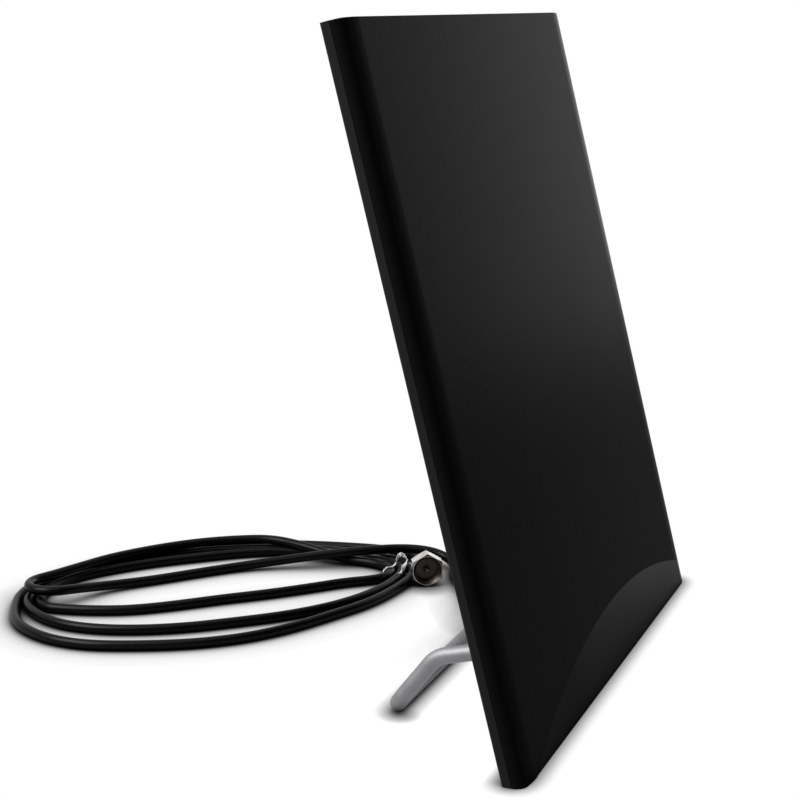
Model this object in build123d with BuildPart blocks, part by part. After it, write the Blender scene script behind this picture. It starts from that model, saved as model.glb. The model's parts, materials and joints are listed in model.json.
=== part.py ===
from build123d import *
from math import cos, radians, sin, tan
import os

os.makedirs("parts", exist_ok=True)

# Panel, leaning back on its own bottom edge
panel_width = 194.6
panel_height = 213.0
panel_thickness = 7.2
lean_angle = 14.4
parting_depth = 4.0
front_edge_reach = 9.6
shoulder_reach = 2.8
shoulder_drop = 0.7
rear_edge_radius = 1.0
seam_chamfer = 0.3
end_edge_radius = 0.5
wall = 1.6
side_wall = 1.8

# Smooth lens-shaped field at the foot of the front
accent_radius = 265.0
accent_peak = 20.6
accent_shift = 14.5
accent_depth = 0.2

# Locating rim between the two covers
rim_thickness = 0.9
rim_height = 1.0
rim_clearance = 0.15

# Cover screws and their bosses
screw_inset = 13.0
screw_rows = 3
screw_boss_diameter = 5.0
screw_shank_diameter = 2.2
screw_head_diameter = 4.4
screw_length = 4.6
screw_fit = 0.05
screw_slot_width = 0.6
screw_slot_depth = 0.5

# Aerial board, its pegs and its copper
board_thickness = 1.0
board_height = 150.0
board_side_gap = 2.0
board_top_gap = 14.0
peg_shoulder_height = 0.8
peg_shoulder_diameter = 4.0
peg_diameter = 2.0
peg_fit = 0.1
peg_inset = 8.0
copper_thickness = 0.15
copper_margin = 4.0
copper_gap = 5.0
copper_track = 9.0
feed_height = 9.0
wing_height = 104.0

# Feed transformer
balun_length = 8.0
balun_width = 4.4
balun_thickness = 1.5
balun_fillet = 0.3

# Wire stand
rod_diameter = 5.0
arm_spacing = 124.6
arm_height = 30.0
arm_reach = 25.9
crossbar_distance = 53.4
arm_bend_radius = 9.0
corner_bend_radius = 6.0
rod_end_chamfer = 0.4

# Stand sockets on the rear cover
socket_diameter = 10.0
socket_length = 9.0
socket_taper = 2.0
socket_fit = 0.1
socket_floor_gap = 0.2

# Cable hump on the rear cover
hump_width = 34.0
hump_length = 22.0
hump_height = 5.0
hump_wall = 1.4
hump_taper = 10.0
hump_corner_radius = 5.0
hump_edge_radius = 1.2

# Strain relief
relief_flange_diameter = 9.0
relief_flange_thickness = 1.2
relief_neck_diameter = 6.2
relief_fit = 0.1
relief_root_diameter = 7.6
relief_tip_diameter = 4.6
relief_collar = 2.0
relief_length = 11.0

# Coaxial lead and its stripped inner end
cable_diameter = 3.5
tail_diameter = 1.5
lead_straight = 9.0
tail_bend_radius = 3.0
tail_gap = 0.1
arc_share = 0.45

# Coil of the lead, an oval on the floor behind the panel
coil_x = 20.6
coil_y = 127.5
coil_turn = -52.0
coil_layer = 3.55
upper_layer = 3.5

# Plug, laid beside the coil
plug_along = 75.9
plug_front = 19.0
plug_turn = 8.6
plug_axis_height = 6.4
nut_across_flats = 11.0
nut_length = 5.2
nut_mouth_diameter = 9.0
nut_mouth_depth = 3.8
nut_lead_in = 0.75
nut_chamfer = 0.8
nut_chamfer_length = 0.5
neck_diameter = 6.3
neck_clearance = 0.3
flange_clearance = 0.3
flange_thickness = 0.8
neck_behind_nut = 0.5
ferrule_diameter = 6.8
ferrule_length = 4.5
ferrule_collar = 1.4
ferrule_flats = 6.0
insulator_diameter = 3.0
pin_diameter = 0.9
pin_recess = 0.3
plug_straight = 4.6

# Tie round the coil at the plug end
tie_along = 68.0
tie_front = 4.0
tie_width = 3.8
tie_thickness = 0.5
tie_span = 13.4
tie_height = 4.6


# Planes and directions of the leaning panel
lean_sin = sin(radians(lean_angle))
lean_cos = cos(radians(lean_angle))
panel_depth = panel_height * lean_sin + panel_thickness * lean_cos
front_line = -panel_depth / 2
panel_up = Vector(0, lean_sin, lean_cos)
panel_back = Vector(0, lean_cos, -lean_sin)
foot = Vector(0, front_line, 0)

front_plane = Plane(origin=foot, x_dir=(1, 0, 0), z_dir=-panel_back)
section_plane = Plane(origin=foot, x_dir=(1, 0, 0), z_dir=panel_up)
rear_plane = Plane(origin=foot + panel_back * panel_thickness, x_dir=(-1, 0, 0), z_dir=panel_back)


def on_panel(across, up, depth):
    """Point on the panel, measured across, up the slope and back from the front face."""
    return foot + Vector(across, 0, 0) + panel_up * up + panel_back * depth


def moulded_section(half_width, face_depth, side_depth, reach):
    """Flat face that falls gently to a shoulder at each end and rolls round it to the side."""
    Line((-half_width + reach, face_depth), (half_width - reach, face_depth))
    for side in (1, -1):
        shoulder = (side * (half_width - shoulder_reach), face_depth + shoulder_drop)
        gentle = TangentArc((side * (half_width - reach), face_depth), shoulder, tangent=(side, 0))
        TangentArc(shoulder, (side * half_width, side_depth), tangent=gentle % 1)
    Line((half_width, side_depth), (-half_width, side_depth))


half_width = panel_width / 2
inner_half_width = half_width - side_wall
inner_reach = front_edge_reach - side_wall

# Space inside the two covers
with BuildPart() as inner_space:
    with BuildSketch(section_plane):
        with BuildLine():
            moulded_section(inner_half_width, wall, parting_depth, inner_reach)
        make_face()
        with Locations((0, (parting_depth + panel_thickness - wall) / 2)):
            Rectangle(2 * inner_half_width, panel_thickness - wall - parting_depth)
    extrude(amount=panel_height - wall)
    split(bisect_by=Plane.XY.offset(wall), keep=Keep.TOP)

# Screw places, in two columns up the panel
boss_x = half_width - screw_inset
inner_bottom = wall / lean_cos + panel_thickness * tan(radians(lean_angle))
boss_low = inner_bottom + screw_boss_diameter / 2 + rim_clearance + rim_thickness
boss_high = panel_height - screw_inset
boss_middle = (boss_low + boss_high) / 2
boss_pitch = (boss_high - boss_low) / (screw_rows - 1)
inner_depth = panel_thickness - 2 * wall

# Board place
board_width = 2 * (boss_x - screw_boss_diameter / 2 - board_side_gap)
board_top = panel_height - board_top_gap
board_middle = board_top - board_height / 2
board_front = wall + peg_shoulder_height
board_back = board_front + board_thickness
peg_across = board_width - 2 * peg_inset
peg_up = board_height - 2 * peg_inset

# Front cover
rim_half_width = inner_half_width - rim_clearance
rim_low = inner_bottom + rim_clearance
rim_high = panel_height - wall - rim_clearance
rim_depth = parting_depth + rim_height - wall

with BuildPart() as front_cover:
    with BuildSketch(section_plane):
        with BuildLine():
            moulded_section(half_width, 0, parting_depth, front_edge_reach)
        make_face()
    extrude(amount=panel_height)
    split(bisect_by=Plane.XY, keep=Keep.TOP)
    top_edges = front_cover.faces().sort_by(Axis(foot, panel_up))[-1].edges()
    fillet(top_edges.sort_by(Axis(foot, panel_back))[:-1], end_edge_radius)
    add(inner_space.part, mode=Mode.SUBTRACT)
    # locating rim that reaches into the rear cover
    with BuildSketch(front_plane.offset(-wall)):
        with Locations((0, (rim_low + rim_high) / 2)):
            Rectangle(2 * rim_half_width, rim_high - rim_low)
            Rectangle(2 * (rim_half_width - rim_thickness), rim_high - rim_low - 2 * rim_thickness,
                      mode=Mode.SUBTRACT)
    extrude(amount=-rim_depth)
    # screw bosses with pilot holes
    with BuildSketch(front_plane.offset(-wall)):
        with Locations((0, boss_middle)):
            with GridLocations(2 * boss_x, boss_pitch, 2, screw_rows):
                Circle(screw_boss_diameter / 2)
                Circle(screw_shank_diameter / 2 + screw_fit, mode=Mode.SUBTRACT)
    extrude(amount=-inner_depth)
    # pegs that carry the board
    with BuildSketch(front_plane.offset(-wall)):
        with Locations((0, board_middle)):
            with GridLocations(peg_across, peg_up, 2, 2):
                Circle(peg_shoulder_diameter / 2)
    extrude(amount=-peg_shoulder_height)
    with BuildSketch(front_plane.offset(-wall)):
        with Locations((0, board_middle)):
            with GridLocations(peg_across, peg_up, 2, 2):
                Circle(peg_diameter / 2)
    extrude(amount=-(peg_shoulder_height + board_thickness + copper_thickness))
    # smooth field sunk a little into the face
    with BuildSketch(front_plane):
        with Locations((accent_shift, accent_peak - accent_radius)):
            Circle(accent_radius)
        with Locations((0, accent_peak)):
            Rectangle(panel_width, 2 * accent_peak, mode=Mode.INTERSECT)
    extrude(amount=-accent_depth, mode=Mode.SUBTRACT)
front_cover.part.label = "front_cover"
export_step(front_cover.part, "parts/front_cover.step")

# Rear cover
exit_hole_radius = relief_neck_diameter / 2 + relief_fit
socket_hole_radius = rod_diameter / 2 + socket_fit
rear_depth = panel_thickness - parting_depth

with BuildPart() as rear_cover:
    with BuildSketch(section_plane) as rear_section:
        with Locations((0, parting_depth + rear_depth / 2)):
            Rectangle(panel_width, rear_depth)
        fillet(rear_section.vertices().group_by(Axis.Y)[-1], rear_edge_radius)
        chamfer(rear_section.vertices().group_by(Axis.Y)[0], seam_chamfer)
    extrude(amount=panel_height)
    split(bisect_by=Plane.XY, keep=Keep.TOP)
    add(inner_space.part, mode=Mode.SUBTRACT)
    # hump over the cable's way in
    with BuildSketch(rear_plane):
        with Locations((0, arm_height)):
            RectangleRounded(hump_width, hump_length, hump_corner_radius)
    extrude(amount=hump_height, taper=hump_taper)
    hump_top = rear_cover.faces().sort_by(Axis(foot, panel_back))[-1]
    fillet(hump_top.edges(), hump_edge_radius)
    # sockets for the stand
    with BuildSketch(rear_plane):
        with Locations((0, arm_height)):
            with GridLocations(arm_spacing, 0, 2, 1):
                Circle(socket_diameter / 2)
    extrude(amount=socket_length, taper=socket_taper)
    # hollow of the hump
    hump_draft = hump_height * tan(radians(hump_taper))
    with BuildSketch(rear_plane.offset(hump_height - hump_wall)):
        with Locations((0, arm_height)):
            RectangleRounded(hump_width - 2 * (hump_wall + hump_draft),
                             hump_length - 2 * (hump_wall + hump_draft),
                             hump_corner_radius - hump_wall)
    extrude(amount=-(hump_height - hump_wall + wall), mode=Mode.SUBTRACT)
    # way out for the strain relief
    with BuildSketch(rear_plane.offset(hump_height)):
        with Locations((0, arm_height)):
            Circle(exit_hole_radius)
    extrude(amount=-2 * hump_wall, mode=Mode.SUBTRACT)
    # blind holes of the sockets
    with BuildSketch(rear_plane.offset(socket_length)):
        with Locations((0, arm_height)):
            with GridLocations(arm_spacing, 0, 2, 1):
                Circle(socket_hole_radius)
    extrude(amount=-socket_length, mode=Mode.SUBTRACT)
    # countersunk screw holes
    with Locations(rear_plane):
        with Locations((0, boss_middle)):
            with GridLocations(2 * boss_x, boss_pitch, 2, screw_rows):
                CounterSinkHole(screw_shank_diameter / 2 + screw_fit,
                                screw_head_diameter / 2 + screw_fit,
                                depth=2 * wall)
rear_cover.part.label = "rear_cover"
export_step(rear_cover.part, "parts/rear_cover.step")

# Countersunk screws that close the covers
head_radius = screw_head_diameter / 2
shank_radius = screw_shank_diameter / 2

with BuildPart() as cover_screws:
    with Locations(rear_plane):
        with Locations((0, boss_middle)):
            with GridLocations(2 * boss_x, boss_pitch, 2, screw_rows):
                Cylinder(shank_radius, screw_length, align=(Align.CENTER, Align.CENTER, Align.MAX))
                Cone(shank_radius, head_radius, head_radius - shank_radius,
                     align=(Align.CENTER, Align.CENTER, Align.MAX))
                Box(screw_head_diameter, screw_slot_width, screw_slot_depth,
                    align=(Align.CENTER, Align.CENTER, Align.MAX), mode=Mode.SUBTRACT)
cover_screws.part.label = "cover_screws"
export_step(cover_screws.part, "parts/cover_screws.step")

# Aerial board on its pegs
with BuildPart() as antenna_board:
    with BuildSketch(front_plane.offset(-board_front)):
        with Locations((0, board_middle)):
            Rectangle(board_width, board_height)
            with GridLocations(peg_across, peg_up, 2, 2):
                Circle(peg_diameter / 2 + peg_fit, mode=Mode.SUBTRACT)
    extrude(amount=-board_thickness)
antenna_board.part.label = "antenna_board"
export_step(antenna_board.part, "parts/antenna_board.step")

# Printed copper wings, each a tapered loop open to the feed
wing_start = copper_gap / 2
wing_end = board_width / 2 - copper_margin - 2 * peg_inset
wing_inner_start = wing_start + copper_track
wing_inner_end = wing_end - copper_track
wing_slope = (wing_height - feed_height) / (wing_end - wing_start)


def wing_half(distance):
    """Half height of a wing at a distance from the middle."""
    return (feed_height + wing_slope * (distance - wing_start)) / 2


with BuildPart() as copper_right:
    with BuildSketch(front_plane.offset(-board_back)):
        with Locations((0, board_middle)):
            Polygon((wing_start, -wing_half(wing_start)), (wing_end, -wing_half(wing_end)),
                    (wing_end, wing_half(wing_end)), (wing_start, wing_half(wing_start)), align=None)
            inner_low = wing_half(wing_inner_start) - copper_track / 2
            inner_high = wing_half(wing_inner_end) - copper_track
            Polygon((wing_inner_start, -inner_low), (wing_inner_end, -inner_high),
                    (wing_inner_end, inner_high), (wing_inner_start, inner_low), align=None,
                    mode=Mode.SUBTRACT)
    extrude(amount=-copper_thickness)
copper_right.part.label = "copper_right"
export_step(copper_right.part, "parts/copper_right.step")

with BuildPart() as copper_left:
    add(copper_right.part)
    mirror(about=Plane.YZ, mode=Mode.REPLACE)
copper_left.part.label = "copper_left"
export_step(copper_left.part, "parts/copper_left.step")

# Feed transformer across the gap between the wings
copper_back = board_back + copper_thickness

with BuildPart() as balun:
    with BuildSketch(front_plane.offset(-copper_back)):
        with Locations((0, board_middle)):
            Rectangle(balun_length, balun_width)
    extrude(amount=-balun_thickness)
    fillet(balun.edges().filter_by(Axis(foot, panel_back)), balun_fillet)
balun.part.label = "balun"
export_step(balun.part, "parts/balun.step")

# Strain relief, turned about the cable's way out
exit_root = on_panel(0, arm_height, panel_thickness + hump_height)
relief_plane = Plane(origin=exit_root, x_dir=panel_back, z_dir=(1, 0, 0))
relief_inner = -(hump_wall + relief_flange_thickness)

with BuildPart() as strain_relief:
    with BuildSketch(relief_plane):
        with BuildLine():
            Polyline((relief_inner, 0), (relief_inner, relief_flange_diameter / 2),
                     (-hump_wall, relief_flange_diameter / 2), (-hump_wall, relief_neck_diameter / 2),
                     (0, relief_neck_diameter / 2), (0, relief_root_diameter / 2),
                     (relief_collar, relief_root_diameter / 2), (relief_length, relief_tip_diameter / 2),
                     (relief_length, 0), close=True)
        make_face()
    revolve(axis=Axis(exit_root, panel_back))
strain_relief.part.label = "strain_relief"
export_step(strain_relief.part, "parts/strain_relief.step")

# Stripped inner end of the lead, from the strain relief up to the transformer
tail_depth = copper_back + tail_gap + tail_diameter / 2
tail_start = panel_thickness + hump_height + relief_inner
tail_top = board_middle - balun_width / 2

with BuildPart() as coax_tail:
    with BuildLine() as tail_path:
        FilletPolyline(on_panel(0, arm_height, tail_start), on_panel(0, arm_height, tail_depth),
                       on_panel(0, tail_top, tail_depth), radius=tail_bend_radius)
    with BuildSketch(tail_path.line ^ 0):
        Circle(tail_diameter / 2)
    sweep()
coax_tail.part.label = "coax_tail"
export_step(coax_tail.part, "parts/coax_tail.step")

# Stand, one rod with an arm each side and a crossbar on the floor
rod_radius = rod_diameter / 2
arm_x = arm_spacing / 2
arm_start = panel_thickness + socket_floor_gap
bend_depth = panel_thickness + arm_reach
crossbar_y = front_line + crossbar_distance

with BuildPart() as stand:
    with BuildLine() as stand_path:
        FilletPolyline(on_panel(-arm_x, arm_height, arm_start), on_panel(-arm_x, arm_height, bend_depth),
                       (-arm_x, crossbar_y, rod_radius), (arm_x, crossbar_y, rod_radius),
                       on_panel(arm_x, arm_height, bend_depth), on_panel(arm_x, arm_height, arm_start),
                       radius=[arm_bend_radius, corner_bend_radius, corner_bend_radius, arm_bend_radius])
    with BuildSketch(stand_path.line ^ 0):
        Circle(rod_radius)
    sweep()
    rod_ends = stand.faces().filter_by(GeomType.PLANE)
    chamfer(rod_ends.edges(), rod_end_chamfer)
stand.part.label = "stand"
export_step(stand.part, "parts/stand.step")

# Cord route from the strain relief, round behind the plug and across the coil
coil_plane = Plane(origin=(coil_x, coil_y, 0), x_dir=(cos(radians(coil_turn)), sin(radians(coil_turn)), 0))


def on_coil(along, near, height):
    """Point over the coil, along its long axis and towards its near side."""
    return coil_plane.from_local_coords(Vector(along, -near, height))


def cord_radii(points):
    """Largest tangent arcs that the runs of a cord allow."""
    radii = []
    for before, point, after in zip(points, points[1:], points[2:]):
        turn = (point - before).get_angle(after - point)
        shorter = min((point - before).length, (after - point).length)
        radii.append(arc_share * shorter / tan(radians(turn / 2)))
    return radii


lead_start = on_panel(0, arm_height, panel_thickness + hump_height + relief_length)
lead_points = [
    lead_start,
    lead_start + panel_back * lead_straight,
    Vector(5.0, 18.5, 16.6),
    Vector(16.0, 26.5, 12.4),
    Vector(30.0, 31.8, 8.0),
    Vector(44.0, 37.4, 4.2),
    Vector(56.0, 44.4, 2.4),
    Vector(66.5, 51.5, 2.2),
    on_coil(91.0, 0.0, 3.0),
    on_coil(89.5, -7.8, 5.2),
    on_coil(83.5, -13.0, 6.8),
    on_coil(73.5, -14.4, 6.7),
    on_coil(58.0, -14.6, 6.6),
    on_coil(39.0, -20.4, 5.0),
    on_coil(18.0, -23.2, 2.0),
    on_coil(-2.0, -17.4, 1.8),
    on_coil(-21.0, -12.2, 1.8),
    on_coil(-38.0, -9.6, 2.4),
    on_coil(-49.0, -5.8, 4.8),
    on_coil(-57.5, -1.6, 5.8),
    on_coil(-63.4, -2.6, 5.9),
    on_coil(-67.2, -7.2, 5.8),
    on_coil(-67.4, -13.4, 5.6),
    on_coil(-64.9, -18.8, 5.5),
]
lead_radii = cord_radii(lead_points)
print("cable_lead radii", [round(radius, 1) for radius in lead_radii])

with BuildPart() as cable_lead:
    with BuildLine() as lead_path:
        FilletPolyline(*lead_points, radius=lead_radii)
    with BuildSketch(lead_path.line ^ 0):
        Circle(cable_diameter / 2)
    sweep()
cable_lead.part.label = "cable_lead"
export_step(cable_lead.part, "parts/cable_lead.step")

# Coil: loose ovals bunched at the tie and on the far side, fanned out on the near side
coil_ovals = [
    {"tie_end": 65.8, "far_end": 64.2, "near": 16.5, "far": 40.8},
    {"tie_end": 69.0, "far_end": 68.4, "near": 40.0, "far": 44.1},
    {"tie_end": 70.8, "far_end": 75.0, "near": 58.0, "far": 47.4},
]
upper_turn = {"tie_end": 62.0, "far_end": 73.0, "far": 42.5}
upper_tie_angle = 62.0
upper_far_angle = 154.0


def oval(turn, grow):
    """Closed oval of four quarter ellipses, grown outwards by an amount."""
    tie_end = turn["tie_end"] + grow
    far_end = turn["far_end"] + grow
    near = turn["near"] + grow
    far = turn["far"] + grow
    EllipticalCenterArc((0, 0), tie_end, far, start_angle=0, arc_size=90)
    EllipticalCenterArc((0, 0), far_end, far, start_angle=90, arc_size=90)
    EllipticalCenterArc((0, 0), far_end, near, start_angle=180, arc_size=90)
    EllipticalCenterArc((0, 0), tie_end, near, start_angle=270, arc_size=90)


def upper_edge(grow):
    """Far part of the turn that lies on top, grown outwards by an amount."""
    tie_side = EllipticalCenterArc((0, 0), upper_turn["tie_end"] + grow, upper_turn["far"] + grow,
                                   start_angle=upper_tie_angle, arc_size=90 - upper_tie_angle)
    far_side = EllipticalCenterArc((0, 0), upper_turn["far_end"] + grow, upper_turn["far"] + grow,
                                   start_angle=90, arc_size=upper_far_angle - 90)
    return tie_side @ 0, far_side @ 1


with BuildPart() as cable_coil:
    for turn in coil_ovals:
        with BuildSketch(coil_plane):
            with BuildLine():
                oval(turn, cable_diameter / 2)
            make_face()
            with BuildLine():
                oval(turn, -cable_diameter / 2)
            make_face(mode=Mode.SUBTRACT)
        extrude(amount=coil_layer)
    # first turn, laid over the others along the far side
    with BuildSketch(coil_plane.offset(coil_layer)):
        with BuildLine():
            outer_start, outer_end = upper_edge(cable_diameter / 2)
            inner_start, inner_end = upper_edge(-cable_diameter / 2)
            Line(outer_start, inner_start)
            Line(outer_end, inner_end)
        make_face()
    extrude(amount=upper_layer)
cable_coil.part.label = "cable_coil"
export_step(cable_coil.part, "parts/cable_coil.step")

# Plug axis, from the back of the ferrule to the mouth of the nut
plug_length = nut_length + neck_behind_nut + ferrule_length
plug_axis = -coil_plane.y_dir * cos(radians(plug_turn)) - coil_plane.x_dir * sin(radians(plug_turn))
plug_mouth = on_coil(plug_along, plug_front, plug_axis_height)
plug_back = plug_mouth - plug_axis * plug_length

# Lead from the coil into the plug
end_points = [
    on_coil(37.0, -41.1, 1.8),
    on_coil(49.0, -36.2, 1.8),
    on_coil(61.0, -30.4, 1.8),
    on_coil(70.5, -25.0, 1.8),
    on_coil(77.0, -19.6, 1.9),
    on_coil(80.2, -14.0, 2.2),
    on_coil(81.2, -8.6, 3.0),
    on_coil(80.4, -3.6, 4.4),
    plug_back - plug_axis * plug_straight,
    plug_back,
]
end_radii = cord_radii(end_points)
print("cable_end radii", [round(radius, 1) for radius in end_radii])

with BuildPart() as cable_end:
    with BuildLine() as end_path:
        FilletPolyline(*end_points, radius=end_radii)
    with BuildSketch(end_path.line ^ 0):
        Circle(cable_diameter / 2)
    sweep()
cable_end.part.label = "cable_end"
export_step(cable_end.part, "parts/cable_end.step")

# Tie round the strands beside the plug
tie_plane = Plane(origin=on_coil(tie_along, tie_front, tie_height / 2),
                  x_dir=coil_plane.x_dir, z_dir=coil_plane.y_dir)

with BuildPart() as cable_tie:
    with BuildSketch(tie_plane):
        RectangleRounded(tie_span, tie_height, tie_height / 2 - tie_thickness / 2)
        offset(amount=-tie_thickness, mode=Mode.SUBTRACT)
    extrude(amount=tie_width)
cable_tie.part.label = "cable_tie"
export_step(cable_tie.part, "parts/cable_tie.step")

# Plug, built along its axis from the mouth of the nut
plug_plane = Plane(origin=plug_mouth, x_dir=(0, 0, 1), z_dir=-plug_axis)
plug_turning = Plane(origin=plug_mouth, x_dir=(0, 0, 1), z_dir=plug_axis.cross(Vector(0, 0, 1)))
nut_corner = nut_across_flats / 2 / cos(radians(30))
flange_back = nut_mouth_depth - flange_clearance
flange_front = flange_back - flange_thickness
neck_back = nut_length + neck_behind_nut

with BuildPart() as plug_nut:
    with BuildSketch(plug_plane):
        RegularPolygon(nut_across_flats / 2, 6, major_radius=False)
    extrude(amount=nut_length)
    # corners turned off at both ends
    with BuildSketch(plug_turning):
        with BuildLine():
            Polyline((0, 0), (nut_corner - nut_chamfer, 0), (nut_corner, nut_chamfer_length),
                     (nut_corner, nut_length - nut_chamfer_length),
                     (nut_corner - nut_chamfer, nut_length), (0, nut_length), close=True)
        make_face()
    revolve(axis=Axis(plug_mouth, -plug_axis), mode=Mode.INTERSECT)
    with BuildSketch(plug_plane):
        Circle(nut_mouth_diameter / 2)
    extrude(amount=nut_mouth_depth, mode=Mode.SUBTRACT)
    with Locations(plug_plane):
        Cone(nut_mouth_diameter / 2 + nut_lead_in, nut_mouth_diameter / 2, nut_lead_in,
             align=(Align.CENTER, Align.CENTER, Align.MIN), mode=Mode.SUBTRACT)
    with BuildSketch(plug_plane.offset(nut_mouth_depth)):
        Circle(neck_diameter / 2 + neck_clearance)
    extrude(amount=nut_length - nut_mouth_depth, mode=Mode.SUBTRACT)
plug_nut.part.label = "plug_nut"
export_step(plug_nut.part, "parts/plug_nut.step")

with BuildPart() as plug_body:
    with BuildSketch(plug_plane.offset(flange_front)):
        Circle(nut_mouth_diameter / 2 - neck_clearance)
    extrude(amount=flange_thickness)
    with BuildSketch(plug_plane.offset(flange_front)):
        Circle(neck_diameter / 2)
    extrude(amount=neck_back - flange_front)
    with BuildSketch(plug_plane.offset(flange_front)):
        Circle(insulator_diameter / 2)
    extrude(amount=neck_back - flange_front, mode=Mode.SUBTRACT)
plug_body.part.label = "plug_body"
export_step(plug_body.part, "parts/plug_body.step")

with BuildPart() as plug_dielectric:
    with BuildSketch(plug_plane.offset(flange_front)):
        Circle(insulator_diameter / 2)
    extrude(amount=neck_back - flange_front)
plug_dielectric.part.label = "plug_dielectric"
export_step(plug_dielectric.part, "parts/plug_dielectric.step")

with BuildPart() as plug_pin:
    with BuildSketch(plug_plane.offset(pin_recess)):
        Circle(pin_diameter / 2)
    extrude(amount=flange_front - pin_recess)
plug_pin.part.label = "plug_pin"
export_step(plug_pin.part, "parts/plug_pin.step")

with BuildPart() as plug_ferrule:
    with BuildSketch(plug_plane.offset(neck_back)):
        Circle(ferrule_diameter / 2)
    extrude(amount=ferrule_collar)
    with BuildSketch(plug_plane.offset(neck_back + ferrule_collar)):
        RegularPolygon(ferrule_flats / 2, 6, major_radius=False)
    extrude(amount=ferrule_length - ferrule_collar)
plug_ferrule.part.label = "plug_ferrule"
export_step(plug_ferrule.part, "parts/plug_ferrule.step")
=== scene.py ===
import json
import math
import bmesh
import bpy
from mathutils import Matrix, Vector


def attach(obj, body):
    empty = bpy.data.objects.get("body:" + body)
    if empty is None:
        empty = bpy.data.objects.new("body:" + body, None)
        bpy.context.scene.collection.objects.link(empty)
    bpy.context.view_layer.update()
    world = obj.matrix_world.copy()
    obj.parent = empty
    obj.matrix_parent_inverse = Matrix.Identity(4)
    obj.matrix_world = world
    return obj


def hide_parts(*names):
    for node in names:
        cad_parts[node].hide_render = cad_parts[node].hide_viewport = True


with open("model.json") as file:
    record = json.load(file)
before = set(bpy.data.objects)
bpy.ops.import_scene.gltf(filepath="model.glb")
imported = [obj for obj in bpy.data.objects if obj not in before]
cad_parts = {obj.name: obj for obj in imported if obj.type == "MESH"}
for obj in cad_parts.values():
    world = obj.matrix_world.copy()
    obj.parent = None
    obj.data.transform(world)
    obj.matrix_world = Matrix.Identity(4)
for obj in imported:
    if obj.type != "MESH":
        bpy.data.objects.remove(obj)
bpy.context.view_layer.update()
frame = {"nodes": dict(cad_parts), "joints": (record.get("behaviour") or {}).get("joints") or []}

scene = bpy.context.scene
scene.view_settings.view_transform = "Standard"
cad = frame["nodes"]
mm = 0.001


class Wire:
    # one socket of a node tree: sums and products add Math nodes, node() adds any other
    def __init__(self, tree, socket=None):
        self.tree = tree
        self.socket = socket

    def node(self, kind, settings=None, inputs=None, output=0):
        made = self.tree.nodes.new(kind)
        for key, value in (settings or {}).items():
            setattr(made, key, value)
        for key, value in (inputs or {}).items():
            if isinstance(value, Wire):
                self.tree.links.new(value.socket, made.inputs[key])
            else:
                made.inputs[key].default_value = value
        return Wire(self.tree, made.outputs[output] if len(made.outputs) else None)

    def pick(self, output):
        return Wire(self.tree, self.socket.node.outputs[output])

    def maths(self, operation, first, second=0.0, clamp=False):
        settings = {"operation": operation, "use_clamp": clamp}
        return self.node("ShaderNodeMath", settings, {0: first, 1: second})

    def dot(self, first, second):
        settings = {"operation": "DOT_PRODUCT"}
        return self.node("ShaderNodeVectorMath", settings, {0: first, 1: second}, "Value")

    def __add__(self, other):
        return self.maths("ADD", self, other)

    def __radd__(self, other):
        return self.maths("ADD", other, self)

    def __sub__(self, other):
        return self.maths("SUBTRACT", self, other)

    def __rsub__(self, other):
        return self.maths("SUBTRACT", other, self)

    def __mul__(self, other):
        return self.maths("MULTIPLY", self, other)

    def __rmul__(self, other):
        return self.maths("MULTIPLY", other, self)

    def clamped(self):
        return self.maths("ADD", self, 0.0, clamp=True)

    def blend(self, first, second):
        colours = {0: self, 6: first, 7: second}
        return self.node("ShaderNodeMix", {"data_type": "RGBA"}, colours, output=2)

    def tint(self, spec):
        return self.blend((*spec["dark"], 1), (*spec["light"], 1))

    def principled(self, inputs):
        return self.node("ShaderNodeBsdfPrincipled", inputs=inputs)


def newFinish(name, shader):
    material = bpy.data.materials.new(name)
    material.use_nodes = True
    material.node_tree.nodes.clear()
    wire = Wire(material.node_tree)
    wire.node("ShaderNodeOutputMaterial", inputs={"Surface": shader(wire)})
    return material


def speckle(wire, scale, detail=2.0, stretch=None):
    spot = wire.node("ShaderNodeTexCoord", output="Object")
    if stretch:
        spot = wire.node("ShaderNodeMapping", inputs={"Vector": spot, "Scale": stretch})
    return wire.node("ShaderNodeTexNoise", inputs={"Vector": spot, "Scale": scale, "Detail": detail})


def bumped(wire, height, spec):
    inputs = {"Height": height, "Distance": spec["bump"] * mm, "Strength": spec["bumpStrength"]}
    return wire.node("ShaderNodeBump", inputs=inputs)


# photo camera, worked out from the panel's edges
cameraSpec = {
    "place": (-0.5212, -0.1618, 0.2100), "heading": (0.9289, 0.3704), "down": 12.8,
    "lens": 78.94, "sensor": 36, "nearest": 0.01,
}

down = math.radians(cameraSpec["down"])
lookX, lookY = cameraSpec["heading"]
look = Vector((lookX * math.cos(down), lookY * math.cos(down), -math.sin(down)))
photoCamera = bpy.data.objects.new("photoCamera", bpy.data.cameras.new("photoCamera"))
scene.collection.objects.link(photoCamera)
photoCamera.location = cameraSpec["place"]
photoCamera.rotation_mode = "QUATERNION"
photoCamera.rotation_quaternion = look.to_track_quat("-Z", "Y")
photoCamera.data.lens = cameraSpec["lens"]
photoCamera.data.sensor_width = cameraSpec["sensor"]
photoCamera.data.clip_start = cameraSpec["nearest"]
scene.camera = photoCamera
print("camera set")


# leaning panel, as the CAD has it
panelSpec = {"lean": 14.4, "width": 194.6, "height": 213.0, "thickness": 7.2}

leanSin = math.sin(math.radians(panelSpec["lean"]))
leanCos = math.cos(math.radians(panelSpec["lean"]))
frontLine = -(panelSpec["height"] * leanSin + panelSpec["thickness"] * leanCos) / 2
panelUp = Vector((0, leanSin, leanCos))
panelBack = Vector((0, leanCos, -leanSin))


def onPanel(across, up, depth):
    return Vector((across, frontLine, 0)) + panelUp * up + panelBack * depth


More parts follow.
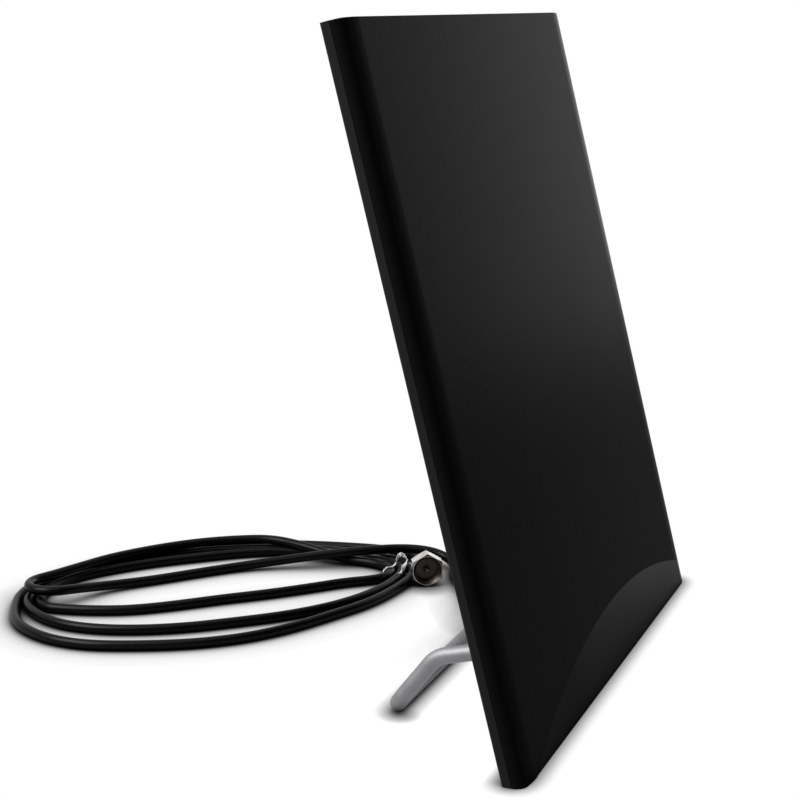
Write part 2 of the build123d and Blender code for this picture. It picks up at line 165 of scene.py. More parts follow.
def newObject(name, data, material=None):
    made = bpy.data.objects.new(name, data)
    scene.collection.objects.link(made)
    if material:
        data.materials.append(material)
    return made


# lead: out of the strain relief, over the coil, round it and into the plug
cordSpec = {
    "diameter": 3.5, "length": 1.5, "exitUp": 30.0, "exitDepth": 23.2, "straight": 9.0,
    "coilCentre": (20.6, 127.5), "coilTurn": -52.0,
    "coilFrom": 210.0, "coilTo": 1365.0, "coilStep": 15.0,
    "plugLength": 10.2, "plugStraight": 4.6, "roundSteps": 6, "lineSteps": 10,
}
# stations round the coil: angle, along the long axis, across it, height
coilStations = [
    (210, 66.4, 34.0, 5.4), (225, 68.0, 32.4, 5.4), (240, 67.6, 37.0, 5.4), (270, 66.0, 41.8, 5.4),
    (300, 61.4, 44.0, 5.5), (315, 59.0, 35.6, 5.0), (330, 62.2, 32.0, 1.9), (345, 66.0, 34.0, 1.8),
    (360, 68.2, 30.0, 1.8), (375, 66.0, 31.0, 1.8), (390, 65.4, 20.4, 1.8), (405, 66.0, 14.0, 1.8),
    (450, 66.0, 15.6, 1.8), (480, 65.2, 20.9, 1.8), (510, 64.0, 20.5, 1.8), (540, 62.8, 30.0, 1.8),
    (555, 62.5, 38.0, 1.8), (570, 62.4, 36.0, 1.8), (600, 66.0, 34.0, 1.8), (630, 66.0, 34.6, 1.8),
    (660, 66.0, 38.6, 1.8), (690, 66.6, 38.3, 1.8), (705, 70.4, 37.0, 1.8), (720, 72.4, 35.0, 1.8),
    (735, 70.0, 38.0, 1.8), (750, 68.0, 40.0, 1.8), (780, 67.0, 40.6, 1.8), (810, 67.0, 40.4, 1.8),
    (840, 68.0, 44.6, 1.8), (870, 68.2, 49.5, 1.8), (900, 67.6, 44.0, 1.8), (915, 66.3, 42.0, 1.8),
    (930, 66.4, 39.0, 1.8), (960, 68.2, 40.6, 1.8), (990, 66.0, 41.6, 1.8), (1050, 71.0, 43.0, 1.8),
    (1065, 74.6, 44.0, 1.8), (1080, 76.4, 44.0, 1.8), (1095, 74.4, 46.0, 1.8), (1110, 70.0, 49.5, 1.8),
    (1140, 67.0, 49.6, 1.8), (1170, 68.0, 56.6, 1.8), (1200, 74.0, 61.6, 1.8), (1230, 75.5, 74.0, 1.8),
    (1245, 75.6, 76.0, 1.8), (1260, 71.2, 58.0, 1.8), (1275, 70.2, 45.6, 1.8), (1290, 70.6, 42.0, 1.8),
    (1320, 69.4, 47.0, 1.8), (1350, 66.0, 48.2, 1.8), (1380, 66.0, 48.2, 1.8),
]
coilTurn = math.radians(cordSpec["coilTurn"])
coilAlong = Vector((math.cos(coilTurn), math.sin(coilTurn), 0))
coilNear = Vector((math.sin(coilTurn), -math.cos(coilTurn), 0))
nutJoint = frame["joints"][0]
plugMouth = Vector(nutJoint["pos_m"]) / mm
plugAxis = Vector(nutJoint["axis"])
plugBack = plugMouth - plugAxis * cordSpec["plugLength"]


def onCoil(along, near, height):
    return Vector((*cordSpec["coilCentre"], height)) + coilAlong * along + coilNear * near


def coilPoint(angle):
    for one, two in zip(coilStations, coilStations[1:]):
        if one[0] <= angle <= two[0]:
            break
    part = (angle - one[0]) / (two[0] - one[0])
    ease = part * part * (3 - 2 * part)
    along, across, height = [a + (b - a) * ease for a, b in zip(one[1:], two[1:])]
    turn = math.radians(angle)
    return onCoil(along * math.cos(turn), across * math.sin(turn), height)


cordExit = onPanel(0, cordSpec["exitUp"], cordSpec["exitDepth"])
leadRoute = [
    cordExit, cordExit + panelBack * cordSpec["straight"],
    Vector((5, 18.5, 16.6)), Vector((16, 26.5, 12.4)), Vector((30, 31.8, 8)), Vector((44, 37.4, 4.2)),
    Vector((56, 44.4, 2.4)), Vector((66.5, 51.5, 2.2)),
    onCoil(91.4, 3.6, 2.4), onCoil(90, -3.4, 3.9), onCoil(83.5, -7.8, 5.6), onCoil(73.5, -11.6, 6),
    onCoil(58, -12.4, 6), onCoil(42, -15.6, 4.6), onCoil(18, -19.8, 1.9), onCoil(-2, -16.4, 1.8),
    onCoil(-21, -12.2, 1.8), onCoil(-38, -9, 2.4), onCoil(-49.5, -2.2, 4.6), onCoil(-57, 1.4, 5.5),
    onCoil(-63.6, -1.4, 5.5), onCoil(-66.2, -7.6, 5.5), onCoil(-63.8, -13.6, 5.4),
]
coilFrom, coilStep = cordSpec["coilFrom"], cordSpec["coilStep"]
coilSteps = round((cordSpec["coilTo"] - coilFrom) / coilStep)
coilRoute = [coilPoint(coilFrom + coilStep * step) for step in range(coilSteps + 1)]
endRoute = [
    onCoil(37, -41.1, 1.8), onCoil(49, -36.2, 1.8), onCoil(61, -30.4, 1.8), onCoil(70.5, -25, 1.8),
    onCoil(77, -19.6, 1.8), onCoil(80.4, -14, 1.8), onCoil(81.4, -8.6, 1.8), onCoil(80.6, -3.2, 2.8),
    plugBack - plugAxis * cordSpec["plugStraight"], plugBack,
]

jacketSpec = {
    "grain": 2400.0, "grainDetail": 3.0, "cloud": 60.0, "dark": (0.0006, 0.0006, 0.0008),
    "light": (0.0014, 0.0014, 0.0016), "rough": 0.30, "roughSpread": 0.12, "specular": 0.1,
    "bump": 0.04, "bumpStrength": 0.6,
}


def jacketShader(wire):
    grain = speckle(wire, jacketSpec["grain"], jacketSpec["grainDetail"])
    cloud = speckle(wire, jacketSpec["cloud"])
    return wire.principled({
        "Base Color": cloud.tint(jacketSpec),
        "Roughness": jacketSpec["rough"] + cloud * jacketSpec["roughSpread"],
        "Specular IOR Level": jacketSpec["specular"], "Normal": bumped(wire, grain, jacketSpec),
    })


jacketFinish = newFinish("jacketFinish", jacketShader)
cordLine = bpy.data.curves.new("leadCord", "CURVE")
cordLine.dimensions = "3D"
cordLine.bevel_depth = cordSpec["diameter"] / 2 * mm
cordLine.bevel_resolution = cordSpec["roundSteps"]
cordLine.resolution_u = cordSpec["lineSteps"]
cordLine.use_fill_caps = True
spline = cordLine.splines.new("NURBS")
route = leadRoute + coilRoute + endRoute
spline.points.add(len(route) - 1)
for point, place in zip(spline.points, route):
    point.co = (*(place * mm), 1)
spline.order_u = 3
spline.use_endpoint_u = True
leadCord = newObject("leadCord", cordLine, jacketFinish)
print("lead laid with", len(route), "points")


# floor and light
stageSpec = {
    "half": 4.0, "floorGrey": 0.35, "shadeSamples": 16, "contact": 0.0056, "contactPower": 2.7,
    "coilContact": 0.014, "coilPower": 3.4, "coilReach": (0.115, 0.085), "coilRim": 1.3, "coilFade": 3,
    "worldLight": 0.07, "dimSide": 0.1, "aheadFull": 0.6,
}
white = (1, 1, 1, 1)


def mirroredRays(rays):
    return (rays.pick("Is Glossy Ray") + rays.pick("Is Transmission Ray")).clamped()


def contactShade(wire, distance, power):
    settings = {"samples": stageSpec["shadeSamples"]}
    clear = wire.node("ShaderNodeAmbientOcclusion", settings, {"Distance": distance}, "AO")
    return wire.maths("POWER", clear, power)


def floorShader(wire):
    grey = stageSpec["floorGrey"]
    rays = wire.node("ShaderNodeLightPath", output="Is Camera Ray")
    tight = contactShade(wire, stageSpec["contact"], stageSpec["contactPower"])
    wide = contactShade(wire, stageSpec["coilContact"], stageSpec["coilPower"])
    coilX, coilY = cordSpec["coilCentre"]
    spot = wire.node("ShaderNodeMapping", {"vector_type": "TEXTURE"}, {
        "Vector": wire.node("ShaderNodeTexCoord", output="Object"),
        "Location": (coilX * mm, coilY * mm, 0), "Rotation": (0, 0, coilTurn),
        "Scale": (*stageSpec["coilReach"], 1)})
    underCoil = ((stageSpec["coilRim"] - wire.dot(spot, spot)) * stageSpec["coilFade"]).clamped()
    shade = tight + (wide - tight) * underCoil  # wider under the coil's loose turns
    paper = wire.node("ShaderNodeBsdfDiffuse", inputs={"Color": (grey, grey, grey, 1)})
    lit = wire.node("ShaderNodeEmission", inputs={"Strength": 1.0})
    unlit = wire.node("ShaderNodeEmission", inputs={"Strength": 0.0})
    shown = wire.node("ShaderNodeMixShader", inputs={0: shade, 1: unlit, 2: lit})
    other = wire.node("ShaderNodeMixShader", inputs={0: mirroredRays(rays), 1: paper, 2: shown})
    return wire.node("ShaderNodeMixShader", inputs={0: rays, 1: other, 2: shown})


half = stageSpec["half"]
floorCorners = [(-half, -half, 0), (half, -half, 0), (half, half, 0), (-half, half, 0)]
floorMesh = bpy.data.meshes.new("floor")
floorMesh.from_pydata(floorCorners, [], [(0, 1, 2, 3)])
floor = newObject("floor", floorMesh, newFinish("floorPaper", floorShader))

world = bpy.data.worlds.new("studio")
scene.world = world
world.use_nodes = True
world.node_tree.nodes.clear()
room = Wire(world.node_tree)
dim = room.node("ShaderNodeBackground", inputs={"Color": white, "Strength": stageSpec["worldLight"]})
bright = room.node("ShaderNodeBackground", inputs={"Color": white, "Strength": 1.0})
rays = room.node("ShaderNodeLightPath", output="Is Camera Ray")
ahead = room.dot(room.node("ShaderNodeTexCoord", output="Generated"), (lookX, lookY, 0))
dimSide = stageSpec["dimSide"]  # the studio is dim behind the photo camera
backdrop = dimSide + (ahead * (1 / stageSpec["aheadFull"])).clamped() * (1 - dimSide)
seen = (rays + mirroredRays(rays) * backdrop).clamped()
roomLight = room.node("ShaderNodeMixShader", inputs={0: seen, 1: dim, 2: bright})
room.node("ShaderNodeOutputWorld", inputs={"Surface": roomLight})

lampSpec = [
    {"name": "backKey", "place": (-0.45, 0.45, 0.62), "aim": (0, 0.05, 0.1), "size": 0.5, "watts": 11},
    {"name": "overhead", "place": (-0.1, 0.1, 1.2), "aim": (0, 0.05, 0), "size": 1.0, "watts": 5},
    {"name": "rightSheen", "place": (1.5, -0.214, 0.256), "aim": (0, 0, 0.1), "size": 0.685, "watts": 5.2},
]
for spec in lampSpec:
    lamp = bpy.data.lights.new(spec["name"], "AREA")
    lamp.size = spec["size"]
    lamp.energy = spec["watts"]
    lampObject = bpy.data.objects.new(spec["name"], lamp)
    scene.collection.objects.link(lampObject)
    lampObject.location = spec["place"]
    lampObject.rotation_mode = "QUATERNION"
    toAim = Vector(spec["aim"]) - Vector(spec["place"])
    lampObject.rotation_quaternion = toAim.to_track_quat("-Z", "Y")
print("floor and lamps set")


# panel covers: fine moulded texture, with a smooth lens-shaped field at the foot of the front
fieldSpec = {
    "radius": 265.0, "peak": 20.6, "shift": 14.5, "edge": 0.3, "depth": 1.2, "fade": 16.0,
    "polish": 0.13, "core": 0.2, "left": 0.12, "rise": 11, "middle": 0.45, "smoothness": 0.9,
}
frontSpec = {
    "grain": 1500.0, "cloud": 22.0, "grainShare": 0.5,
    "dark": (0.0042, 0.0042, 0.0044), "light": (0.0070, 0.0070, 0.0073), "rough": 0.27,
    "roughSpread": 0.05, "specular": 0.002, "coatRough": 0.1, "bump": 0.1, "bumpStrength": 0.5,
}
rearSpec = {
    "grain": 1900.0, "cloud": 30.0, "grainShare": 0.4,
    "dark": (0.009, 0.009, 0.0095), "light": (0.017, 0.017, 0.0175), "rough": 0.4,
    "roughSpread": 0.14, "specular": 0.02, "bump": 0.08, "bumpStrength": 0.5,
}


def panelDistances(wire):
    spot = wire.node("ShaderNodeTexCoord", output="Object")
    across = wire.node("ShaderNodeSeparateXYZ", inputs={0: spot})
    back = across.pick("Y") - frontLine * mm
    height = across.pick("Z")
    return across, back * leanSin + height * leanCos, back * leanCos - height * leanSin


def coverTexture(wire, spec):
    grain = speckle(wire, spec["grain"])
    cloud = speckle(wire, spec["cloud"])
    share = spec["grainShare"]
    return grain, cloud, (cloud * (1 - share) + grain * share).tint(spec)


def smoothField(wire):
    across, up, depth = panelDistances(wire)
    radius = fieldSpec["radius"] * mm
    sideways = across - fieldSpec["shift"] * mm
    upward = up - (fieldSpec["peak"] * mm - radius)
    inside = (radius * radius - sideways * sideways - upward * upward) * (0.5 / radius)
    field = (inside * (1 / (fieldSpec["edge"] * mm)) + 0.5).clamped()
    field = field * wire.maths("LESS_THAN", depth, fieldSpec["depth"] * mm)
    fade = (1 - inside * (1 / (fieldSpec["fade"] * mm))).clamped()
    core, left = fieldSpec["core"], fieldSpec["left"]
    rise = (across * fieldSpec["rise"] + fieldSpec["middle"]).clamped()  # shinier towards the right
    polish = field * (core + fade * (1 - core)) * (left + rise * (1 - left))
    return field, polish


def frontShader(wire):
    grain, cloud, colour = coverTexture(wire, frontSpec)
    field, polish = smoothField(wire)
    return wire.principled({
        "Base Color": colour, "Roughness": frontSpec["rough"] + cloud * frontSpec["roughSpread"],
        "Specular IOR Level": frontSpec["specular"],
        "Coat Weight": polish * fieldSpec["polish"], "Coat Roughness": frontSpec["coatRough"],
        "Normal": bumped(wire, grain * (1 - field * fieldSpec["smoothness"]), frontSpec),
    })


def rearShader(wire):
    grain, _, colour = coverTexture(wire, rearSpec)
    return wire.principled({
        "Base Color": colour, "Roughness": rearSpec["rough"] + grain * rearSpec["roughSpread"],
        "Specular IOR Level": rearSpec["specular"], "Normal": bumped(wire, grain, rearSpec),
    })


# stand rod: satin plating with faint drawing marks
rodSpec = {
    "drawn": 900.0, "drawnDetail": 3.0, "stretch": (0.12, 1.0, 1.0), "cloud": 120.0,
    "dark": (0.201, 0.201, 0.211), "light": (0.297, 0.297, 0.309), "rough": 0.55, "roughSpread": 0.14,
    "bump": 0.02, "bumpStrength": 0.5,
}


def rodShader(wire):
    drawn = speckle(wire, rodSpec["drawn"], rodSpec["drawnDetail"], rodSpec["stretch"])
    cloud = speckle(wire, rodSpec["cloud"])
    return wire.principled({
        "Base Color": cloud.tint(rodSpec), "Metallic": 1.0,
        "Roughness": rodSpec["rough"] + cloud * rodSpec["roughSpread"],
        "Normal": bumped(wire, drawn, rodSpec),
    })


# nut: bright flats, with painted shade darkening the bore and the turned front face
nutSpec = {
    "mouthRadius": 5.2, "boreTop": -1.0, "boreDark": 1.15, "boreEdge": 0.1, "faceDepth": 0.25,
    "worn": 420.0, "wornDetail": 4.0, "turned": 3000.0, "faceShade": 0.85,
    "dark": (0.17, 0.16, 0.15), "light": (0.96, 0.94, 0.90), "boreShade": (0.035, 0.03, 0.027),
    "rough": 0.14, "wornRough": 0.14, "boreRough": 0.2, "bump": 0.01, "bumpStrength": 0.4,
}


def nickelShader(wire):
    worn = speckle(wire, nutSpec["worn"], nutSpec["wornDetail"])
    turned = speckle(wire, nutSpec["turned"])
    spot = wire.node("ShaderNodeTexCoord", output="Object")
    away = wire.node("ShaderNodeVectorMath", {"operation": "SUBTRACT"}, {0: spot, 1: plugMouth * mm})
    depth = wire.dot(away, -plugAxis)
    radius = wire.maths("SQRT", wire.dot(away, away) - depth * depth)
    edge = nutSpec["boreEdge"] * mm
    within = ((nutSpec["mouthRadius"] * mm + edge - radius) * (1 / edge)).clamped()
    deep = ((depth - nutSpec["boreTop"] * mm) * (1 / (nutSpec["boreDark"] * mm))).clamped()
    # painted shade: within the mouth radius the colour turns dark from the front face inwards
    boreShade = within * deep
    # painted shade: the turned front face of the nut is darkened
    face = 1 - (depth * (1 / (nutSpec["faceDepth"] * mm))).clamped()
    platedWithShade = (worn * (1 - face * nutSpec["faceShade"])).tint(nutSpec)
    return wire.principled({
        "Base Color": boreShade.blend(platedWithShade, (*nutSpec["boreShade"], 1)), "Metallic": 1.0,
        "Roughness": nutSpec["rough"] + worn * nutSpec["wornRough"] + boreShade * nutSpec["boreRough"],
        "Normal": bumped(wire, turned, nutSpec),
    })


# plain finishes: one noise drives the colour, roughness and bump
plainSpec = {
    "socketMetalFinish": {
        "scale": 600.0, "detail": 3.0, "dark": (0.03, 0.026, 0.022), "light": (0.07, 0.06, 0.052),
        "metallic": 1.0, "rough": 0.36, "roughSpread": 0.2, "bump": 0.01, "bumpStrength": 0.4},
    "pinFinish": {
        "scale": 600.0, "detail": 3.0, "dark": (0.10, 0.07, 0.045), "light": (0.20, 0.14, 0.09),
        "metallic": 1.0, "rough": 0.42, "roughSpread": 0.2, "bump": 0.01, "bumpStrength": 0.4},
    "darkInsulatorFinish": {
        "scale": 1200.0, "detail": 2.0, "dark": (0.012, 0.011, 0.011), "light": (0.03, 0.028, 0.027),
        "specular": 0.1, "rough": 0.5, "roughSpread": 0.15, "bump": 0.02, "bumpStrength": 0.4},
    "screwFinish": {
        "scale": 700.0, "detail": 3.0, "dark": (0.03, 0.03, 0.032), "light": (0.09, 0.09, 0.092),
        "metallic": 0.9, "rough": 0.32, "roughSpread": 0.2, "bump": 0.02, "bumpStrength": 0.5},
    "boardFinish": {
        "scale": 1500.0, "detail": 1.0, "dark": (0.018, 0.11, 0.045), "light": (0.03, 0.16, 0.07),
        "rough": 0.4, "roughSpread": 0.15, "bump": 0.03, "bumpStrength": 0.4},
    "copperFinish": {
        "scale": 260.0, "detail": 4.0, "dark": (0.52, 0.23, 0.12), "light": (0.78, 0.40, 0.23),
        "metallic": 1.0, "rough": 0.25, "roughSpread": 0.2, "bump": 0.01, "bumpStrength": 0.4},
    "blockFinish": {
        "scale": 1800.0, "detail": 2.0, "dark": (0.06, 0.06, 0.066), "light": (0.10, 0.10, 0.11),
        "rough": 0.5, "roughSpread": 0.15, "bump": 0.03, "bumpStrength": 0.5},
    "insulatorFinish": {
        "scale": 500.0, "detail": 2.0, "dark": (0.76, 0.75, 0.70), "light": (0.84, 0.83, 0.79),
        "rough": 0.42, "roughSpread": 0.12, "bump": 0.02, "bumpStrength": 0.4},
    "tieFinish": {
        "scale": 900.0, "detail": 3.0, "dark": (0.66, 0.70, 0.69), "light": (0.94, 0.95, 0.95),
        "rough": 0.12, "roughSpread": 0.2, "clear": 0.25, "clearSpread": 0.55,
        "bump": 0.2, "bumpStrength": 0.6},
}


def plainFinish(name):
    spec = plainSpec[name]

    def shader(wire):
        noise = speckle(wire, spec["scale"], spec["detail"])
        inputs = {
            "Base Color": noise.tint(spec), "Roughness": spec["rough"] + noise * spec["roughSpread"],
            "Normal": bumped(wire, noise, spec),
        }
        for key, socket in (("metallic", "Metallic"), ("specular", "Specular IOR Level")):
            if key in spec:
                inputs[socket] = spec[key]
        if "clear" in spec:
            inputs["Alpha"] = spec["clear"] + noise * spec["clearSpread"]
        return wire.principled(inputs)

    return newFinish(name, shader)


finishes = {name: plainFinish(name) for name in plainSpec}
finishes["jacketFinish"] = jacketFinish
for name, shader in (("frontFinish", frontShader), ("rearFinish", rearShader),
                     ("rodFinish", rodShader), ("nickelFinish", nickelShader)):
    finishes[name] = newFinish(name, shader)
nodeFinish = {
    "front_cover": "frontFinish", "rear_cover": "rearFinish", "stand": "rodFinish",
    "cover_screws": "screwFinish", "antenna_board": "boardFinish", "copper_left": "copperFinish",
    "copper_right": "copperFinish", "balun": "blockFinish", "coax_tail": "insulatorFinish",
    "strain_relief": "jacketFinish", "plug_nut": "nickelFinish", "plug_body": "socketMetalFinish",
    "plug_ferrule": "nickelFinish", "plug_dielectric": "darkInsulatorFinish", "plug_pin": "pinFinish",
    "cable_tie": "tieFinish", "cable_lead": "jacketFinish", "cable_coil": "jacketFinish",
    "cable_end": "jacketFinish",
}
for node, name in nodeFinish.items():
    slots = cad[node].data.materials
    slots.clear()
    slots.append(finishes[name])
print("finishes set")


socketKinds = {bool: "Bool", int: "Int", float: "Float", Vector: "Vector"}


def newTree(name, sizes):
    tree = bpy.data.node_groups.new(name, "GeometryNodeTree")
    tree.interface.new_socket("Geometry", in_out="INPUT", socket_type="NodeSocketGeometry")
    tree.interface.new_socket("Geometry", in_out="OUTPUT", socket_type="NodeSocketGeometry")
    for label, value in sizes.items():
        kind = socketKinds.get(type(value), "Object")
        tree.interface.new_socket(label, in_out="INPUT", socket_type="NodeSocket" + kind)
    return tree, Wire(tree, tree.nodes.new("NodeGroupInput").outputs[0])


def closeTree(wire, shape, material):
    solid = wire.node("GeometryNodeRealizeInstances", inputs={0: shape})
    painted = wire.node("GeometryNodeSetMaterial", inputs={"Geometry": solid, "Material": material})
    wire.node("NodeGroupOutput", inputs={0: painted})


def circle(wire, sides, radius):
    inputs = {"Resolution": sides, "Radius": radius}
    return wire.node("GeometryNodeCurvePrimitiveCircle", inputs=inputs)


def sweep(wire, line, profile, caps=False):
    inputs = {"Curve": line, "Profile Curve": profile, "Fill Caps": caps}
    return wire.node("GeometryNodeCurveToMesh", inputs=inputs)


def grow(name, mesh, tree, sizes):
    made = newObject(name, mesh)
    modifier = made.modifiers.new(name, "NODES")
    modifier.node_group = tree
    for item in tree.interface.items_tree:
        if item.item_type == "SOCKET" and item.in_out == "INPUT" and item.name in sizes:
            modifier[item.identifier] = sizes[item.name]
    bpy.context.view_layer.update()
    grown = made.evaluated_get(bpy.context.evaluated_depsgraph_get())
    made.data = bpy.data.meshes.new_from_object(grown)
    made.modifiers.clear()
    return made


def standAt(place, direction):
    turn = direction.to_track_quat("Z", "Y").to_matrix().to_4x4()
    return Matrix.Translation(place * mm) @ turn


# strain relief ribs: rings that get smaller towards the tip
ribSpec = {
    "depth": 14.9, "ringSides": 40, "ribSides": 10,
    "sizes": {"Count": 5, "Root Radius": 3.45 * mm, "Tip Radius": 2.35 * mm, "Rib Radius": 0.42 * mm,
              "Spacing": 1.65 * mm},
}
ribTree, ribs = newTree("reliefRibs", ribSpec["sizes"])
rootRadius = ribs.pick("Root Radius")
share = ribs.maths("DIVIDE", ribs.node("GeometryNodeInputIndex"), ribs.pick("Count") - 1)
size = rootRadius + share * (ribs.pick("Tip Radius") - rootRadius)
along = ribs.node("ShaderNodeCombineXYZ", inputs={"Z": ribs.pick("Spacing")})
rings = ribs.node("GeometryNodeInstanceOnPoints", inputs={
    "Points": ribs.node("GeometryNodeMeshLine", inputs={"Count": ribs.pick("Count"), "Offset": along}),
    "Instance": circle(ribs, ribSpec["ringSides"], 1.0),
    "Scale": ribs.node("ShaderNodeCombineXYZ", inputs={"X": size, "Y": size, "Z": 1.0})})
loose = ribs.node("GeometryNodeRealizeInstances", inputs={0: rings})
profile = circle(ribs, ribSpec["ribSides"], ribs.pick("Rib Radius"))
closeTree(ribs, sweep(ribs, loose, profile), jacketFinish)
reliefRibs = grow("reliefRibs", bpy.data.meshes.new("reliefRibs"), ribTree, ribSpec["sizes"])
reliefRibs.data.transform(standAt(onPanel(0, cordSpec["exitUp"], ribSpec["depth"]), panelBack))
reliefRibs.data.shade_smooth()
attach(reliefRibs, "antenna")
print("strain relief ribs made")


# thread inside the mouth of the nut
threadSpec = {
    "depth": 0.75, "turnSteps": 48, "ridgeSides": 6,
    "sizes": {"Radius": 4.5 * mm, "Pitch": 0.79 * mm, "Turns": 2.5, "Ridge": 0.3 * mm},
}
threadTree, thread = newTree("nutThread", threadSpec["sizes"])
spiral = thread.node("GeometryNodeCurveSpiral", inputs={
    "Resolution": threadSpec["turnSteps"], "Rotations": thread.pick("Turns"),
    "Start Radius": thread.pick("Radius"), "End Radius": thread.pick("Radius"),
    "Height": thread.pick("Turns") * thread.pick("Pitch")})
profile = circle(thread, threadSpec["ridgeSides"], thread.pick("Ridge"))
closeTree(thread, sweep(thread, spiral, profile, caps=True), finishes["nickelFinish"])
nutThread = grow("nutThread", bpy.data.meshes.new("nutThread"), threadTree, threadSpec["sizes"])
nutThread.data.transform(standAt(plugMouth - plugAxis * threadSpec["depth"], -plugAxis))
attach(nutThread, "nut")
print("nut thread made")


# clear film tie: round the strands beside the plug, its ends twisted into a loop
tieSpec = {
    "twistEnd": 0.38, "lineSteps": 8,
    "sizes": {"Film Width": 1.5 * mm, "Film Thickness": 0.15 * mm, "Twist": 20.0},
}
tieRoute = [
    (67.4, 11.5, 3.9), (69.0, 9.0, 4.5), (71.0, 6.0, 5.2), (72.6, 3.4, 6.2), (71.6, 3.0, 7.6),
    (70.2, 3.0, 8.3), (69.2, 2.8, 7.0), (68.4, 2.6, 4.8), (67.0, 2.8, 3.8), (64.8, 3.0, 3.6),
    (63.4, 3.0, 2.0), (64.6, 3.0, 0.4), (70.0, 3.0, 0.35), (76.0, 3.0, 0.4), (77.8, 3.2, 2.2),
    (76.2, 3.4, 4.2), (73.5, 3.2, 4.5),
]
tieTree, tie = newTree("filmTie", tieSpec["sizes"])
line = tie.node("GeometryNodeMeshToCurve", inputs={"Mesh": tie})
soft = tie.node("GeometryNodeCurveSplineType", {"spline_type": "CATMULL_ROM"}, {"Curve": line})
fine = tie.node("GeometryNodeSetSplineResolution", inputs={
    "Geometry": soft, "Resolution": tieSpec["lineSteps"]})
share = tie.node("GeometryNodeSplineParameter", output="Factor")
twist = (tieSpec["twistEnd"] - share) * tie.pick("Twist")  # the loop is twisted, the ring lies flat
tilt = tie.maths("MAXIMUM", twist, 0.0)
twisted = tie.node("GeometryNodeSetCurveTilt", inputs={"Curve": fine, "Tilt": tilt})
film = tie.node("GeometryNodeCurvePrimitiveQuadrilateral", {"mode": "RECTANGLE"}, {
    "Width": tie.pick("Film Thickness"), "Height": tie.pick("Film Width")})
closeTree(tie, sweep(tie, twisted, film, caps=True), finishes["tieFinish"])
tiePoints = [onCoil(*point) * mm for point in tieRoute]
tieLine = bpy.data.meshes.new("filmTie")
tieLine.from_pydata(tiePoints, [(k, k + 1) for k in range(len(tiePoints) - 1)], [])
filmTie = grow("filmTie", tieLine, tieTree, tieSpec["sizes"])
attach(filmTie, "antenna")
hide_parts("cable_tie")
print("film tie made")


# cross-head screws on the back
screwSpec = {
    "inset": 13.0, "ups": (7.05, 103.53, 200.0), "head": 2.2, "shank": 1.1, "length": 4.6, "sides": 32,
    "tip": 0.6, "tipShare": 0.6, "rim": 0.08, "slotWidth": 0.6, "slotLength": 2.5, "slotDepth": 0.75,
    "slotTaper": 0.55, "sunk": 0.12, "mostTurn": 1.57, "seed": 4,
}


def turnedShape(profile, sides):
    shape = bmesh.new()
    turns = [math.tau * k / sides for k in range(sides)]
    rings = [[shape.verts.new((r * math.cos(turn), r * math.sin(turn), z)) for turn in turns]
             for r, z in profile]
    for low, high in zip(rings, rings[1:]):
        for k in range(sides):
            after = (k + 1) % sides
            shape.faces.new((low[k], low[after], high[after], high[k]))
    shape.faces.new(rings[-1])
    shape.faces.new(rings[0][::-1])
    bmesh.ops.recalc_face_normals(shape, faces=shape.faces)
    return shape


def shapeObject(name, shape):
    mesh = bpy.data.meshes.new(name)
    shape.to_mesh(mesh)
    shape.free()
    return newObject(name, mesh)


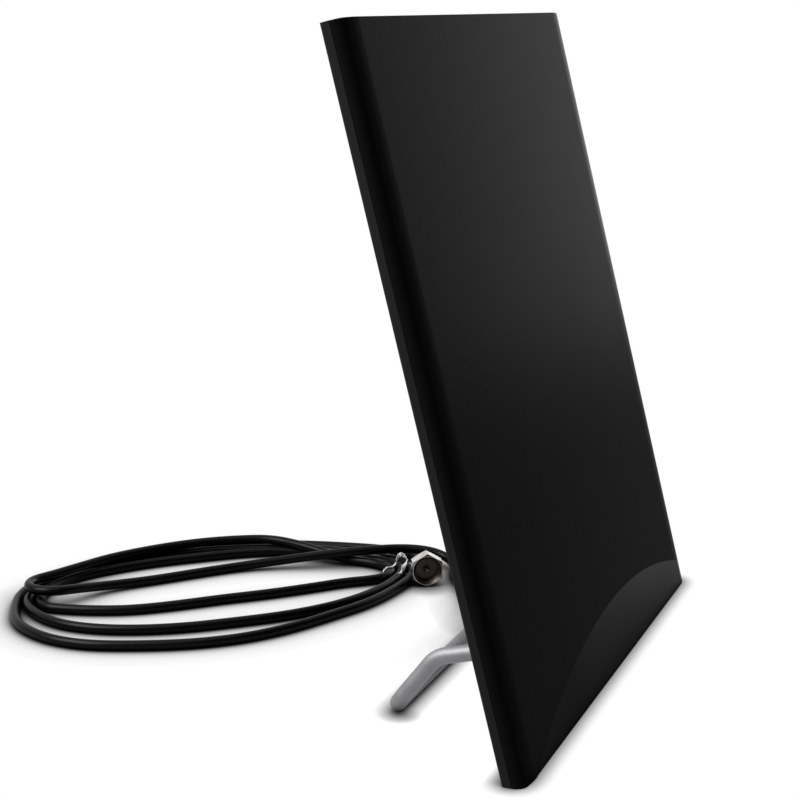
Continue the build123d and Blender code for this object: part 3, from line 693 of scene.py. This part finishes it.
def crossHeadScrew():
    spec = screwSpec
    head, shank, rim, length = spec["head"], spec["shank"], spec["rim"], spec["length"]
    blank = shapeObject("screwBlank", turnedShape([
        (shank * spec["tipShare"], -length), (shank, -length + spec["tip"]), (shank, -(head - shank)),
        (head - rim, -2 * rim), (head, -rim), (head - rim, 0.0)], spec["sides"]))
    cutter = bmesh.new()
    slotSize = (spec["slotLength"], spec["slotWidth"], 2 * spec["slotDepth"])
    for turn in (0, 90):
        made = bmesh.ops.create_cube(cutter, size=1.0)["verts"]
        bmesh.ops.scale(cutter, vec=slotSize, verts=made)
        turnSlot = Matrix.Rotation(math.radians(turn), 3, "Z")
        bmesh.ops.rotate(cutter, cent=(0, 0, 0), matrix=turnSlot, verts=made)
    for vert in cutter.verts:
        if vert.co.z < 0:
            vert.co.x *= spec["slotTaper"]
            vert.co.y *= spec["slotTaper"]
    slots = shapeObject("screwSlot", cutter)
    cut = blank.modifiers.new("slot", "BOOLEAN")
    cut.operation = "DIFFERENCE"
    cut.object = slots
    cut.solver = "EXACT"
    cut.use_self = True
    bpy.context.view_layer.update()
    cutBlank = blank.evaluated_get(bpy.context.evaluated_depsgraph_get())
    shaped = bpy.data.meshes.new_from_object(cutBlank)
    for used in (blank, slots):
        bpy.data.objects.remove(used)
    shaped.transform(Matrix.Scale(mm, 4))
    return newObject("screwPattern", shaped)


screwPattern = crossHeadScrew()
screwTilt = Vector(panelBack.to_track_quat("Z", "Y").to_euler())
screwInputs = {"Screw": screwPattern, "Tilt": screwTilt, "Seed": screwSpec["seed"]}
screwTree, screws = newTree("coverScrews", screwInputs)
pattern = screws.node("GeometryNodeObjectInfo", inputs={"Object": screws.pick("Screw")}, output="Geometry")
placed = screws.node("GeometryNodeInstanceOnPoints", inputs={
    "Points": screws, "Instance": pattern, "Rotation": screws.pick("Tilt")})
spin = screws.node("FunctionNodeRandomValue", {"data_type": "FLOAT"}, {
    2: 0.0, 3: screwSpec["mostTurn"], "Seed": screws.pick("Seed")}, output=1)
spun = screws.node("GeometryNodeRotateInstances", inputs={
    "Instances": placed, "Rotation": screws.node("ShaderNodeCombineXYZ", inputs={"Z": spin}),
    "Local Space": True})
closeTree(screws, spun, finishes["screwFinish"])
column = panelSpec["width"] / 2 - screwSpec["inset"]
screwDepth = panelSpec["thickness"] - screwSpec["sunk"]
screwPlaces = [onPanel(side * column, up, screwDepth) * mm for side in (-1, 1) for up in screwSpec["ups"]]
screwPoints = bpy.data.meshes.new("coverScrews")
screwPoints.from_pydata(screwPlaces, [], [])
coverScrews = grow("coverScrews", screwPoints, screwTree, screwInputs)
bpy.data.objects.remove(screwPattern)
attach(coverScrews, "antenna")
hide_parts("cover_screws")
print("cover screws made")


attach(leadCord, "antenna")
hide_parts("cable_lead", "cable_coil", "cable_end")
cordExit * mm
